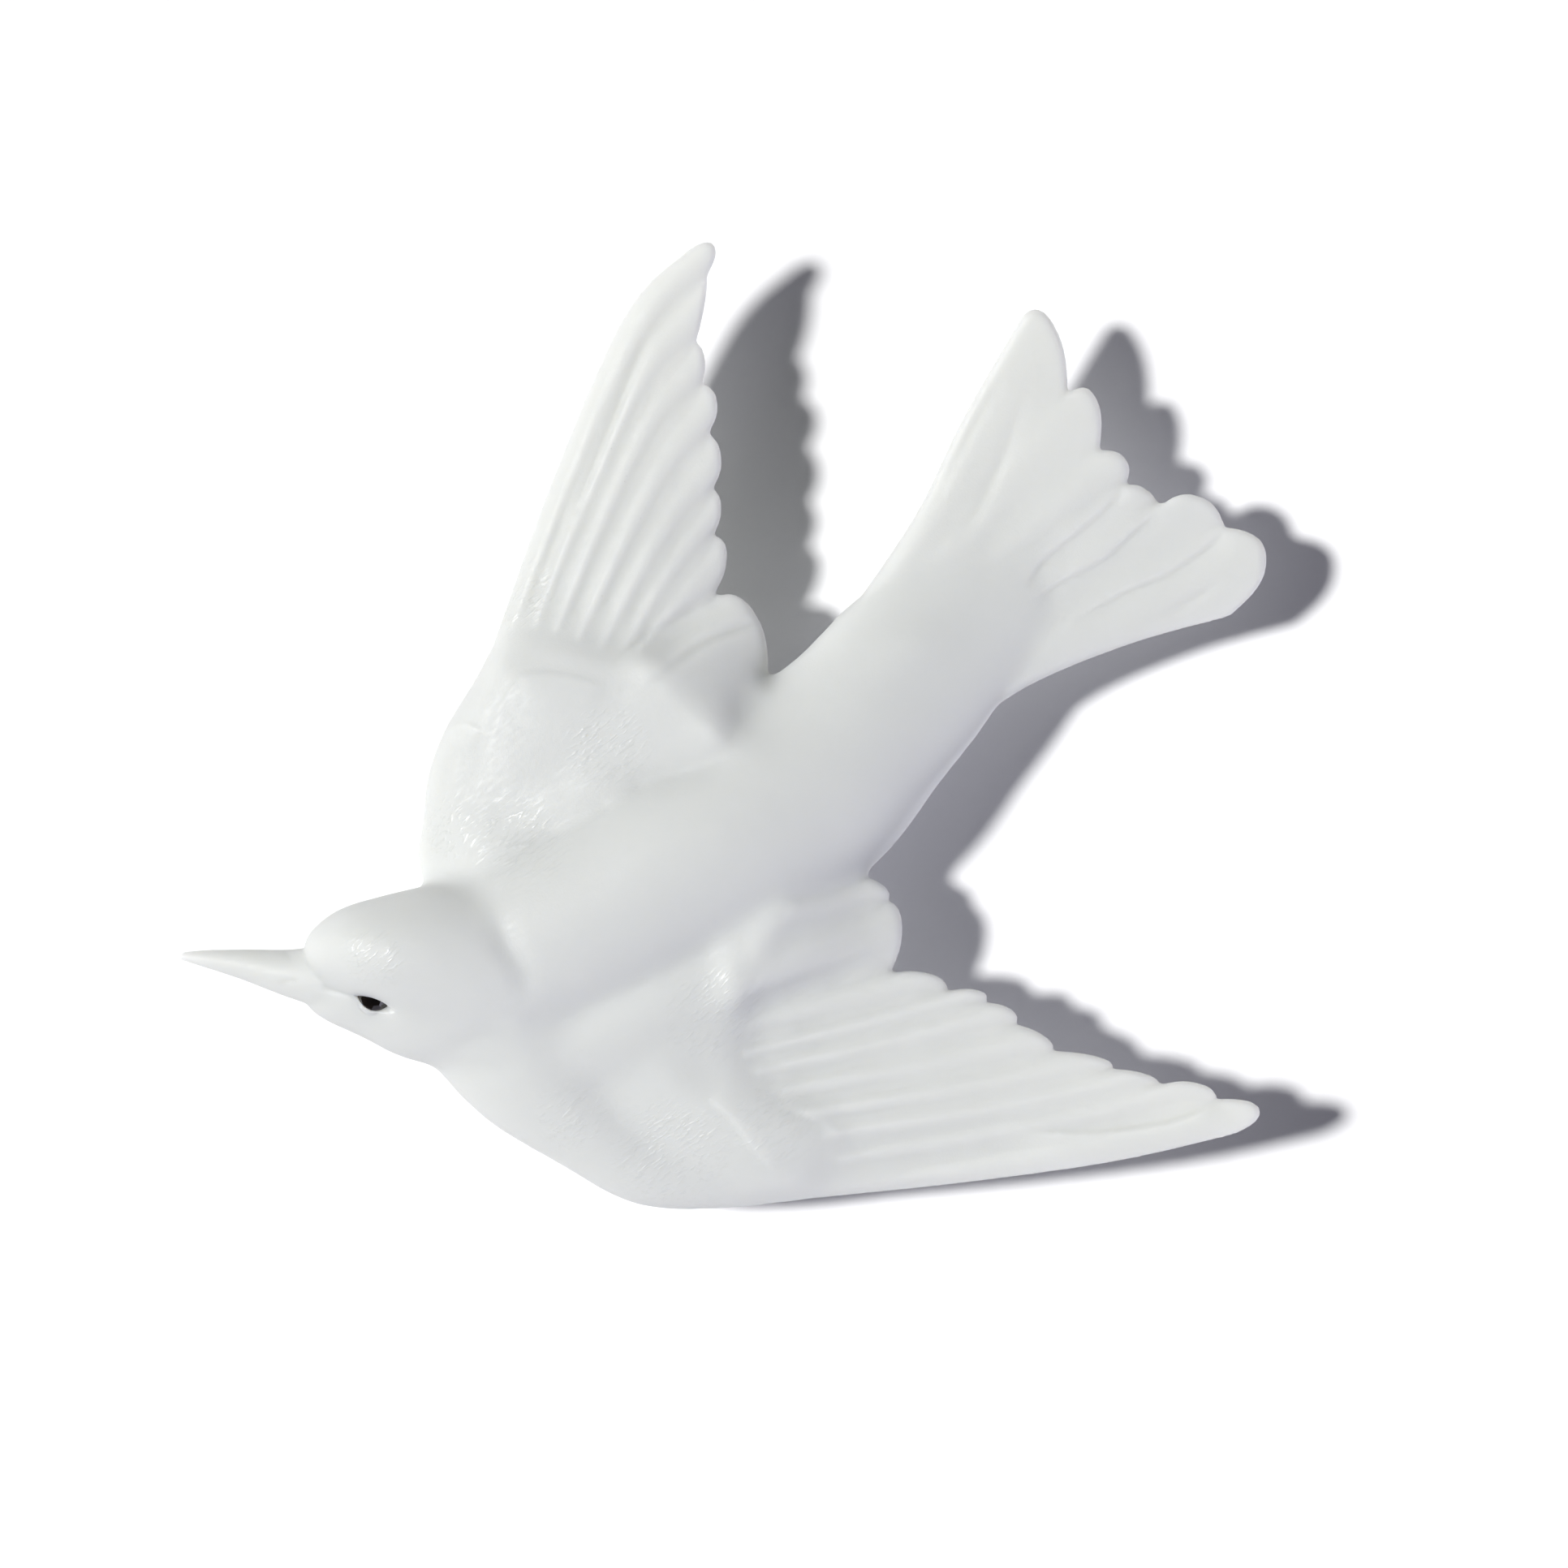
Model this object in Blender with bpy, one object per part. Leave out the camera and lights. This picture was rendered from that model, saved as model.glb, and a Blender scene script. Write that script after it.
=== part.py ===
"""A white bisque porcelain swallow in flight, cast in one piece, with two glass eyes.

The bird lies on the small flat of its belly, wings and tail spread and clear of the surface. It flies
towards -Y with its back up (+Z), its right wing at -X and its left wing at +X. The origin is the middle of
the belly flat. Run with: blender --background --python part.py
"""

import math

import bmesh
import bpy
import numpy as np
from mathutils import Matrix, Vector

# Driving sizes, in metres

FIGURE_LENGTH = 0.143  # beak tip to the farther tail tip, seen from above
EYE_DIAMETER = 0.0044  # glass bead
EYE_GAP = 0.0003  # clearance of each bead in its socket
WING_EDGE = 0.0017  # thickness of the feathers near the trailing edge of a wing
TAIL_EDGE = 0.0018  # the same at the end of the tail
FRONT_THICKNESS = 0.0034  # front of a wing, where the arm covers it
HAND_THICKNESS = 0.0036  # middle of a wing, where the covert feathers end
FLUTE_DEPTH = 0.00055  # grooves between the flight feathers, on top
UNDER_FLUTE_DEPTH = 0.00025  # the same, underneath
STEP_HEIGHT = 0.0004  # each tail feather lies this far over the next one
COVERT_RISE = 0.0022  # how far the small feathers between arm and flutes swell up
UNDERARM_FILL = 0.0030  # how far the wing swells down behind the arm
CARVING_GRAIN = 0.0005  # finest form that the casting holds
TRUNK_GRAIN = 0.0007  # the same for the trunk, which is softened before the feathers join it
TRUNK_SOFTENING = 24  # rounds of smoothing that blend head, body and arms
SOLID_TRIANGLES = 8600  # how finely the cast solid is faceted
UNDERARM_REACH = 0.012  # how far behind the front of the wing that swelling is full
TIP_LEAN = 0.85  # below 1, each feather end is fullest nearer its outer notch
TIP_ROUNDNESS = 2.4  # 2 makes a feather end a plain arch, and more makes it squarer
SWELL_REACH = 0.3  # how far past the coverts the swelling fades out, as a share of a feather's length
BROAD_SWELL_REACH = 1.2  # the same for the broad feathers next to the body
EDGE_ROUNDING = 0.7  # width of a rounded edge, as a share of the thickness there
ARM_ROWS = 26  # rows of points from the arm to the coverts
OVERLAP_ROWS = 4  # the crisp flight feathers begin this many rows before the coverts
SUNK_LENGTH = 0.12  # share of a crisp feather that is still sunk in the trunk
FEATHER_ROWS = 60  # rows of points from the coverts to the feather ends

# The plan drawing, seen from above
# Its unit is a 143rd of the bird's length, x runs to the right and y down, and z is the height above the
# belly flat. The beak points to the left of the drawing and the tail to its upper right.

PLAN_LENGTH = 143.0
UNIT = FIGURE_LENGTH / PLAN_LENGTH
BELLY_ON_PLAN = (85.0, 105.5)  # where the origin is
FLIGHT_TURN = math.radians(51.5)  # turns the drawing so that the bird flies towards -Y

# Each feather has its own tip, with a notch between it and the next, from a wing's leading edge inwards to the
# broad feathers next to the body, and across the tail from right to left. The other curves are drawn through a
# few points, in the same order or from the root out to the tip. From "broad_from" on, counted in feathers, a
# wing's feathers are broad ones that lie over the next and stay swollen.
RIGHT_WING = {
    "tips": [
        (88.0, 30.4, 19.2), (86.9, 37.6, 18.9), (86.9, 44.3, 18.5), (88.4, 49.6, 18.2),
        (88.9, 56.4, 17.8), (88.9, 62.6, 17.4), (89.6, 68.8, 17.0), (92.8, 75.2, 16.4),
    ],
    "notches": [
        (87.2, 34.1, 19.0), (85.8, 42.3, 18.7), (86.5, 47.3, 18.3), (87.3, 53.4, 18.0),
        (87.8, 60.2, 17.5), (87.9, 65.9, 17.2), (87.5, 73.9, 16.7),
    ],
    "coverts": [
        (60.2, 81.2, 16.4), (63.4, 80.5, 17.3), (66.0, 80.7, 18.0), (68.6, 81.3, 18.5),
        (71.4, 82.0, 18.9), (74.2, 82.4, 19.1), (76.8, 82.2, 19.2), (79.4, 81.6, 19.2),
        (89.6, 92.4, 19.4),
    ],
    "arm": [
        (57.4, 88.4, 15.0), (53.0, 93.6, 14.6), (51.8, 101.0, 14.7), (52.2, 108.6, 15.0),
        (65.0, 116.6, 15.6),
    ],
    "leading_edge": [(60.2, 81.2, 16.4), (68.0, 59.4, 17.7), (77.0, 39.0, 18.7), (84.8, 31.0, 19.0)],
    "inner_end": (94.6, 84.0, 15.5),
    "broad_from": 7.0,
}
LEFT_WING = {
    "tips": [
        (155.1, 136.6, 17.9), (147.6, 133.4, 17.6), (140.9, 132.2, 17.4), (135.7, 130.3, 17.2),
        (128.8, 127.7, 16.9), (124.7, 124.4, 16.6), (120.6, 122.0, 16.4), (114.8, 120.0, 16.2),
        (111.2, 114.4, 15.9), (108.5, 108.8, 15.6),
    ],
    "notches": [
        (150.0, 135.3, 17.7), (143.0, 133.6, 17.4), (136.7, 131.7, 17.2), (129.7, 129.4, 17.0),
        (125.1, 126.1, 16.7), (121.5, 123.5, 16.5), (116.8, 122.1, 16.2), (109.7, 119.9, 16.0),
        (109.5, 110.9, 15.7),
    ],
    "coverts": [
        (101.4, 147.4, 13.6), (99.6, 140.0, 16.6), (91.4, 133.6, 17.5), (89.4, 127.0, 18.1),
        (97.0, 110.4, 18.8),
    ],
    "arm": [
        (89.0, 147.6, 12.6), (75.0, 145.0, 12.6), (61.0, 136.2, 13.3), (58.4, 130.4, 13.7), (71.0, 120.5, 14.6),
    ],
    "leading_edge": [(100.0, 147.8, 13.4), (118.0, 145.9, 15.0), (137.0, 143.2, 16.4), (151.8, 139.8, 17.7)],
    "inner_end": (104.4, 107.6, 15.0),
    "broad_from": 8.0,
}
TAIL = {
    "tips": [
        (129.9, 40.1, 16.2), (135.0, 48.9, 15.8), (138.8, 56.6, 15.5), (141.1, 60.1, 15.0),
        (147.6, 61.0, 14.4), (156.2, 68.8, 13.8),
    ],
    "notches": [
        (131.6, 48.6, 15.9), (135.5, 55.5, 15.6), (138.5, 60.0, 15.2), (142.9, 62.6, 14.7),
        (151.1, 64.9, 14.1),
    ],
    "roots": [(103.6, 77.0, 14.6), (109.6, 79.0, 15.4), (115.0, 84.2, 15.1), (118.6, 90.2, 13.8)],
    "right_edge": [(103.6, 77.0, 14.6), (112.7, 63.6, 15.4), (118.6, 51.6, 15.9), (126.0, 38.8, 16.2)],
    "left_edge": [(118.6, 90.2, 13.8), (126.6, 84.6, 13.9), (138.6, 79.6, 13.7), (151.4, 76.0, 13.4)],
}

# Body, head, beak and arms: x and y on the plan, half width, top and underside
BODY = [
    (56.0, 121.0, 9.0, 24.4, 8.0), (65.0, 116.0, 12.4, 25.4, 3.4), (74.0, 111.5, 13.8, 25.9, 0.3),
    (82.5, 106.5, 14.2, 26.2, -1.2), (91.0, 101.8, 14.0, 25.8, -1.0), (100.0, 95.8, 13.3, 24.2, 1.6),
    (107.0, 88.8, 11.8, 22.2, 4.6), (112.6, 82.4, 11.4, 20.2, 7.6), (118.4, 76.2, 10.0, 18.4, 10.6),
    (124.0, 70.6, 7.6, 17.0, 13.0), (129.0, 66.0, 4.6, 16.2, 14.4),
]
CROWN = [
    (37.9, 118.2, 1.9, 20.6, 14.4), (40.2, 117.4, 3.9, 23.2, 12.6), (43.4, 116.9, 5.5, 25.4, 11.4),
    (47.5, 117.0, 6.9, 26.6, 10.6), (53.0, 117.4, 8.6, 26.7, 10.0), (60.0, 118.2, 10.0, 25.9, 9.0),
    (68.0, 117.0, 10.6, 24.4, 8.0), (75.0, 114.0, 10.6, 22.4, 8.0),
]
CHEEKS = [
    (37.6, 120.8, 2.8, 18.8, 12.8), (41.0, 121.4, 4.8, 20.4, 10.8), (46.0, 121.4, 7.2, 21.6, 9.2),
    (51.0, 121.6, 9.2, 22.8, 8.2), (57.0, 121.6, 10.2, 23.8, 7.2), (64.0, 121.4, 10.8, 24.0, 6.5),
]
BEAK = [
    (22.2, 117.8, 0.45, 16.6, 15.7), (25.2, 118.1, 1.05, 17.3, 15.1), (30.0, 118.8, 1.85, 18.3, 14.7),
    (36.0, 119.9, 3.0, 19.5, 14.0), (41.0, 120.4, 4.2, 20.6, 13.6),
]
RIGHT_SHOULDER = [
    (72.0, 114.0, 11.0, 23.8, 7.0), (66.0, 108.6, 12.4, 22.6, 7.4), (62.4, 102.4, 10.6, 21.0, 8.2),
    (60.0, 96.0, 8.0, 19.6, 9.4), (59.7, 90.6, 5.2, 18.6, 10.8), (61.4, 84.6, 3.2, 18.4, 12.4),
    (64.6, 76.0, 2.2, 18.6, 14.4), (69.0, 64.0, 1.4, 18.8, 16.2),
]
LEFT_SHOULDER = [
    (63.5, 121.0, 11.4, 23.4, 6.6), (64.6, 126.0, 12.4, 22.4, 6.4), (67.6, 132.0, 10.1, 21.0, 6.4),
    (73.0, 138.0, 7.1, 19.4, 6.8), (80.5, 142.7, 6.4, 17.8, 7.4), (89.0, 144.8, 4.5, 16.8, 8.8),
    (99.0, 145.2, 3.0, 16.4, 10.8), (112.0, 144.8, 1.8, 16.6, 13.0),
]
RIGHT_SCAPULARS = [
    (60.0, 109.0, 7.0, 20.4, 10.0), (66.0, 102.0, 8.0, 21.6, 10.0), (74.0, 97.4, 8.0, 22.6, 11.0),
    (82.0, 93.2, 7.0, 22.2, 12.0), (89.0, 88.6, 5.6, 20.6, 13.0), (94.0, 84.4, 3.6, 18.6, 14.0),
]
LEFT_SCAPULARS = [
    (63.0, 128.0, 8.0, 20.8, 9.0), (71.0, 127.4, 8.6, 21.6, 9.0), (79.0, 124.4, 8.6, 22.0, 10.0),
    (87.0, 119.8, 7.6, 21.8, 11.0), (95.0, 114.6, 6.2, 20.6, 12.0), (102.0, 109.8, 4.2, 18.8, 13.0),
]
EYES = {"eye_left": (46.3, 122.8, 19.8), "eye_right": (46.3, 112.9, 15.0)}  # middles of the beads

PORCELAIN_WHITE = (0.86, 0.87, 0.86, 1.0)
GLASS_BLACK = (0.012, 0.010, 0.010, 1.0)


FORMS = (BODY, CROWN, CHEEKS, RIGHT_SHOULDER, LEFT_SHOULDER, RIGHT_SCAPULARS, LEFT_SCAPULARS)


def on_plan(x, y, z):
    """A point of the plan drawing in the bird's own frame, in metres."""
    flat = Vector((x - BELLY_ON_PLAN[0], BELLY_ON_PLAN[1] - y, z)) * UNIT
    return Matrix.Rotation(FLIGHT_TURN, 3, "Z") @ flat


def placed(points):
    """Points of the plan drawing in the bird's own frame, as an array."""
    return np.array([on_plan(*point) for point in points])


def through(points, at):
    """Points on the smooth curve through the given ones; `at` counts them, so 1.5 is half way from 1 to 2."""
    points = np.asarray(points, float)
    at = np.asarray(at, float)
    last = len(points) - 1
    before = np.clip(np.floor(at).astype(int), 0, last - 1)
    f = (at - before)[:, None]
    p0 = points[np.clip(before - 1, 0, last)]
    p1, p2 = points[before], points[before + 1]
    p3 = points[np.clip(before + 2, 0, last)]
    return 0.5 * (
        2 * p1 + (p2 - p0) * f + (2 * p0 - 5 * p1 + 4 * p2 - p3) * f**2 + (3 * p1 - p0 - 3 * p2 + p3) * f**3
    )


def spaced(curve, count):
    """So many points, evenly along the smooth curve through the given ones."""
    return through(curve, np.linspace(0, len(curve) - 1, count))


def smoothstep(low, high, value):
    """0 below low, 1 above high, and an even slope between."""
    f = np.clip((value - low) / (high - low), 0.0, 1.0)
    return f * f * (3 - 2 * f)


def scalloped(tips, notches, across):
    """The edge that the feather ends make: from each notch in a round through the tip to the next notch."""
    feather = np.clip(np.floor(across).astype(int), 0, len(tips) - 1)
    f = (across - feather)[:, None]
    start, end, tip = notches[feather], notches[feather + 1], tips[feather]
    fullest = 0.5 ** (1 / TIP_LEAN)
    roundness = 1 - np.abs(2 * f**TIP_LEAN - 1) ** TIP_ROUNDNESS
    return (1 - f) * start + f * end + (tip - (1 - fullest) * start - fullest * end) * roundness


def fanned(starts, ends, along, edges):
    """Points in rows from starts to ends, with its outer columns bent to follow the given edges."""
    step = along[:, None, None]
    points = (1 - step) * starts + step * ends
    share = np.linspace(0, 1, len(starts))
    for edge, column, weight in zip(edges, (0, -1), ((1 - share) ** 1.5, share**1.5)):
        bow = through(edge, along * (len(edge) - 1)) - points[:, column]
        points = points + bow[:, None, :] * weight[None, :, None]
    return points


def from_edge(points, edge):
    """How far each point of a grid lies from the edge beside it, seen from above."""
    return np.linalg.norm((points - edge)[..., :2], axis=2)


def rounded(distance, radius):
    """How full a rounded edge is at this distance from it, from 0 to 1."""
    f = 1 - np.clip(distance / radius, 0.0, 1.0)
    return np.sqrt(np.clip(1 - f * f, 0.0, 1.0))


def flute(across):
    """A feather's own curve across its width: 1 on its back and 0 in the grooves beside it."""
    f = across - np.floor(across)
    return 1 - np.abs(2 * f - 1) ** 2.2


def sheet(middle, upper, lower):
    """A closed thin body: a grid of middle points, raised by upper and lowered by lower, met at its rim."""
    rows, columns = upper.shape
    mesh = bmesh.new()
    sides = []
    for offset in (upper, -lower):
        points = middle.copy()
        points[..., 2] += offset
        sides.append([[mesh.verts.new(points[r, c]) for c in range(columns)] for r in range(rows)])
    for flip, side in enumerate(sides):
        for r in range(rows - 1):
            for c in range(columns - 1):
                corners = [side[r][c], side[r][c + 1], side[r + 1][c + 1], side[r + 1][c]]
                mesh.faces.new(corners[::-1] if flip else corners)
    bmesh.ops.remove_doubles(mesh, verts=mesh.verts, dist=CARVING_GRAIN / 100)
    bmesh.ops.recalc_face_normals(mesh, faces=mesh.faces)
    return finished("sheet", mesh)


def finished(name, mesh):
    """Links the mesh as an object."""
    data = mesh
    if isinstance(mesh, bmesh.types.BMesh):
        data = bpy.data.meshes.new(name)
        mesh.to_mesh(data)
        mesh.free()
    made = bpy.data.objects.new(name, data)
    bpy.context.scene.collection.objects.link(made)
    return made


def wing(plan, crisp):
    """One spread wing, whole for the soft trunk, or only its crisp flight feathers."""
    tips, coverts, arm, lead = map(placed, (plan["tips"], plan["coverts"], plan["arm"], plan["leading_edge"]))
    feathers = len(tips)
    across = np.linspace(0, feathers, 14 * feathers + 1)
    roots, fronts = spaced(coverts, len(across)), spaced(arm, len(across))
    notches = np.vstack([lead[-1:], placed(plan["notches"]), placed([plan["inner_end"]])])
    ends = scalloped(tips, notches, across)
    forward = 1 - np.cos(np.linspace(0, math.pi / 2, ARM_ROWS))
    outward = np.sin(np.linspace(0, math.pi / 2, FEATHER_ROWS))
    middle = np.concatenate([fanned(fronts, roots, forward, ()), fanned(roots, ends, outward, (lead,))[1:]])
    along = np.concatenate([forward - 1, outward[1:]])[:, None]  # -1 at the arm, 0 at the coverts, 1 at the end
    front, back = from_edge(middle, middle[:1]), from_edge(middle, middle[-1:])
    outer, inner = from_edge(middle, middle[:, :1]), from_edge(middle, middle[:, -1:])
    thick = np.where(
        along < 0,
        HAND_THICKNESS + (FRONT_THICKNESS - HAND_THICKNESS) * smoothstep(0, 1, -along),
        WING_EDGE + (HAND_THICKNESS - WING_EDGE) * (1 - along) ** 1.3,
    )
    edges = ((front, FRONT_THICKNESS), (outer, thick), (back, WING_EDGE), (inner, WING_EDGE))
    full = np.minimum.reduce([rounded(distance, EDGE_ROUNDING * wall) for distance, wall in edges])
    ramp = smoothstep(0.0, 0.3, along) * full
    groove = (1 - flute(across))[None, :]
    broad = smoothstep(plan["broad_from"] - 0.1, plan["broad_from"] + 0.4, across)[None, :]
    reach = SWELL_REACH + (BROAD_SWELL_REACH - SWELL_REACH) * broad
    swell = COVERT_RISE * smoothstep(-1.0, -0.5, along) * smoothstep(reach, -0.3, along) * full
    fill = UNDERARM_FILL * smoothstep(0.15, -0.7, along) * smoothstep(0.0, UNDERARM_REACH, front) * full
    upper = thick / 2 * full - FLUTE_DEPTH * groove * ramp + swell
    lower = thick / 2 * full - UNDER_FLUTE_DEPTH * groove * ramp + fill
    least = 0.2 * thick / 2 * full  # no groove cuts through the wing
    upper, lower = np.maximum(upper, least), np.maximum(lower, least)
    if crisp:
        kept = slice(ARM_ROWS - OVERLAP_ROWS, None)
        middle, upper, lower, along = middle[kept], upper[kept], lower[kept], along[kept]
        sunk = smoothstep(along[0, 0], SUNK_LENGTH, along)
        upper, lower = upper * sunk, lower * sunk
    return sheet(middle, upper, lower)


def tail(plan):
    """The spread tail: each feather lies a little over the next one to the left."""
    tips, starts = placed(plan["tips"]), placed(plan["roots"])
    right, left = placed(plan["right_edge"]), placed(plan["left_edge"])
    feathers = len(tips)
    across = np.linspace(0, feathers, 16 * feathers + 1)
    roots = spaced(starts, len(across))
    ends = scalloped(tips, np.vstack([right[-1:], placed(plan["notches"]), left[-1:]]), across)
    along = np.sin(np.linspace(0, math.pi / 2, FEATHER_ROWS))
    middle = fanned(roots, ends, along, (right, left))
    along = along[:, None]
    sides = np.minimum(from_edge(middle, middle[:, :1]), from_edge(middle, middle[:, -1:]))
    thick = TAIL_EDGE + (HAND_THICKNESS - TAIL_EDGE) * (1 - along) ** 1.5
    front, back = from_edge(middle, middle[:1]), from_edge(middle, middle[-1:])
    edges = ((sides, thick), (front, TAIL_EDGE), (back, TAIL_EDGE))
    full = np.minimum.reduce([rounded(distance, EDGE_ROUNDING * wall) for distance, wall in edges])
    ramp = smoothstep(0.05, 0.3, along) * full
    lie = STEP_HEIGHT * (across - np.floor(across) - 0.5)[None, :] * ramp
    groove = (1 - flute(across))[None, :]
    upper = thick / 2 * full - FLUTE_DEPTH / 2 * groove * ramp + lie
    return sheet(middle, upper, thick / 2 * full)


def loft(name, sections, points=40, rings=60):
    """A closed body through oval sections: x and y on the plan, half width, top and underside."""
    table = np.array(sections, float)
    table = through(table, np.linspace(0, len(sections) - 1, rings))
    centres = np.array([on_plan(x, y, (top + under) / 2) for x, y, _, top, under in table])
    heading = np.gradient(centres, axis=0)
    heading[:, 2] = 0
    heading /= np.linalg.norm(heading, axis=1)[:, None]
    mesh = bmesh.new()
    loops = []
    for centre, ahead, (_, _, half_width, top, under) in zip(centres, heading, table):
        side = Vector((ahead[1], -ahead[0], 0.0)) * half_width
        rise = Vector((0.0, 0.0, (top - under) / 2))
        ring = []
        for angle in np.linspace(0, 2 * math.pi, points, endpoint=False):
            out = side * math.cos(angle) + rise * math.sin(angle)
            ring.append(mesh.verts.new(Vector(centre) + out * UNIT))
        loops.append(ring)
    for one, two in zip(loops, loops[1:]):
        for k in range(points):
            mesh.faces.new([one[k], one[(k + 1) % points], two[(k + 1) % points], two[k]])
    mesh.faces.new(loops[0])
    mesh.faces.new(loops[-1])
    bmesh.ops.recalc_face_normals(mesh, faces=mesh.faces)
    return finished(name, mesh)


def ball(name, centre, radius, subdivisions=3):
    """A round bead."""
    mesh = bmesh.new()
    bmesh.ops.create_icosphere(mesh, subdivisions=subdivisions, radius=radius)
    bmesh.ops.translate(mesh, verts=mesh.verts, vec=centre)
    made = finished(name, mesh)
    made.data.shade_smooth()
    return made


def cutter(made):
    """Marks an object as a cutter, which isn't part of the bird."""
    made.hide_render = True
    made.display_type = "WIRE"
    return made


def belly_block():
    """The block below the bird that planes its belly flat."""
    mesh = bmesh.new()
    bmesh.ops.create_cube(mesh, size=FIGURE_LENGTH)
    bmesh.ops.translate(mesh, verts=mesh.verts, vec=(0, 0, -FIGURE_LENGTH / 2))
    return cutter(finished("belly_block", mesh))


def joined(name, parts):
    """One object that holds the parts, which overlap where they meet."""
    mesh = bmesh.new()
    for part in parts:
        mesh.from_mesh(part.data)
    return finished(name, mesh)


def shaped(made):
    """The object's mesh as its modifiers leave it."""
    graph = bpy.context.evaluated_depsgraph_get()
    graph.update()
    return bpy.data.meshes.new_from_object(made.evaluated_get(graph))


def cast_as_one(made, grain, softening):
    """Fuses the overlapping parts of an object into one skin, and softens it."""
    fuse = made.modifiers.new("cast as one", "REMESH")
    fuse.mode, fuse.voxel_size = "VOXEL", grain
    soften = made.modifiers.new("soften", "SMOOTH")
    soften.factor, soften.iterations = 0.5, softening


def cut_with(made, other):
    """Takes the other object away from this one."""
    cut = made.modifiers.new(f"cut by {other.name}", "BOOLEAN")
    cut.operation, cut.solver, cut.object = "DIFFERENCE", "EXACT", other


def material(name, colour, roughness):
    """A plain finish."""
    made = bpy.data.materials.new(name)
    made.use_nodes = True
    shader = made.node_tree.nodes["Principled BSDF"]
    shader.inputs["Base Color"].default_value = colour
    shader.inputs["Roughness"].default_value = roughness
    return made


def main():
    for existing in list(bpy.data.objects):
        bpy.data.objects.remove(existing)
    porcelain = material("bisque porcelain", PORCELAIN_WHITE, 0.5)
    glass = material("black glass", GLASS_BLACK, 0.05)
    forms = [loft("form", form) for form in FORMS]
    soft_wings = [wing(RIGHT_WING, False), wing(LEFT_WING, False)]
    feathers = [wing(RIGHT_WING, True), wing(LEFT_WING, True), tail(TAIL)]
    trunk = joined("trunk", forms + soft_wings + feathers[-1:])
    cast_as_one(trunk, TRUNK_GRAIN, TRUNK_SOFTENING)
    soft = finished("soft", shaped(trunk))
    beak = loft("beak", BEAK)
    bird = joined("swallow", [soft, beak, *feathers])
    for used in (*forms, *soft_wings, *feathers, trunk, soft, beak):
        bpy.data.objects.remove(used)
    bird.data.materials.append(porcelain)
    cast_as_one(bird, CARVING_GRAIN, 2)
    facets = bird.modifiers.new("facets", "DECIMATE")
    facets.ratio = min(1.0, SOLID_TRIANGLES / (2 * len(shaped(bird).polygons)))
    cut_with(bird, belly_block())
    for name, place in EYES.items():
        centre = on_plan(*place)
        eye = ball(name, centre, EYE_DIAMETER / 2)
        eye.data.materials.append(glass)
        cut_with(bird, cutter(ball(f"{name}_socket", centre, EYE_DIAMETER / 2 + EYE_GAP, subdivisions=2)))


main()
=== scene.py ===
# %% [markdown]
# # A white bisque porcelain swallow
# The real thing is a small bird, slip-cast in unglazed porcelain in one piece: a smooth body with a turned
# head, a long pointed beak, two spread wings whose flight feathers are long rounded flutes, and a fanned tail.
# Each side of the head holds a dark glass bead as its eye. It lies on its belly on a white table.
# The solid model of the bird is loaded first, as a fixed frame. The finely carved bird is made in its place.

import math

import bpy
import numpy as np
from mathutils import Matrix, Vector


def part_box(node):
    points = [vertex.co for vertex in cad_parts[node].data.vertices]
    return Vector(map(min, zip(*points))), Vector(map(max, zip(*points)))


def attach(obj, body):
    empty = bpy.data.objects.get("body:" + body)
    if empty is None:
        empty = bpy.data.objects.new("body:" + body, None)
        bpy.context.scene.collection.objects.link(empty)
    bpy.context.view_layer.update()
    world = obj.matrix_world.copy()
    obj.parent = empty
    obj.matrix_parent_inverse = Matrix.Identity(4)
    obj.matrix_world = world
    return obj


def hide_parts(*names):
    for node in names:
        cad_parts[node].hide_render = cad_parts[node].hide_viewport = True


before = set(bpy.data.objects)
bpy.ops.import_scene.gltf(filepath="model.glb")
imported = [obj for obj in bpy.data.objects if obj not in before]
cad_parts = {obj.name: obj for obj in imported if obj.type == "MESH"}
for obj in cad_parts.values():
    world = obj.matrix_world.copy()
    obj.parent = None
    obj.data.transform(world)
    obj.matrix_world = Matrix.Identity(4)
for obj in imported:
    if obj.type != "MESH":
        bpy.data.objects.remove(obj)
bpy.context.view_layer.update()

# %% [markdown]
# ## The plan drawing
# A bird seen from above is easiest to draw as a plan, as a modeller does before cutting a plaster mould. One
# unit of the plan is one millimetre, x runs to the right and y down, with the beak at the left and the tail at
# the upper right. `on_plan` turns a point of the plan into the bird's own frame, where it flies towards -Y, and
# `plan_of` goes the other way, so that carving lines can be drawn on the finished skin.

# %% The plan and its two directions
UNIT = 0.001
BELLY_ON_PLAN = (85.0, 105.5)
FLIGHT_TURN = math.radians(51.5)
TURN = np.array(Matrix.Rotation(FLIGHT_TURN, 3, "Z"))


def on_plan(points):
    """Plan points (x, y, height) in the bird's own frame, in metres."""
    points = np.asarray(points, float)
    x, y, height = points[..., 0], points[..., 1], points[..., 2]
    flat = np.stack([x - BELLY_ON_PLAN[0], BELLY_ON_PLAN[1] - y, height], -1)
    return flat @ TURN.T * UNIT


def plan_of(places):
    """The plan points of places in the bird's own frame."""
    flat = np.asarray(places, float) @ TURN / UNIT
    return np.stack([flat[..., 0] + BELLY_ON_PLAN[0], BELLY_ON_PLAN[1] - flat[..., 1], flat[..., 2]], -1)


print("beak tip in mm", np.round(1000 * on_plan((22.0, 117.8, 16.2)), 1))

# %% [markdown]
# ## Camera
# The bird was photographed from straight above, with the beak to the left. The camera hangs high over the
# middle of the picture, turned about the vertical as the plan is, and a long lens keeps the wings undistorted.

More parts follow.
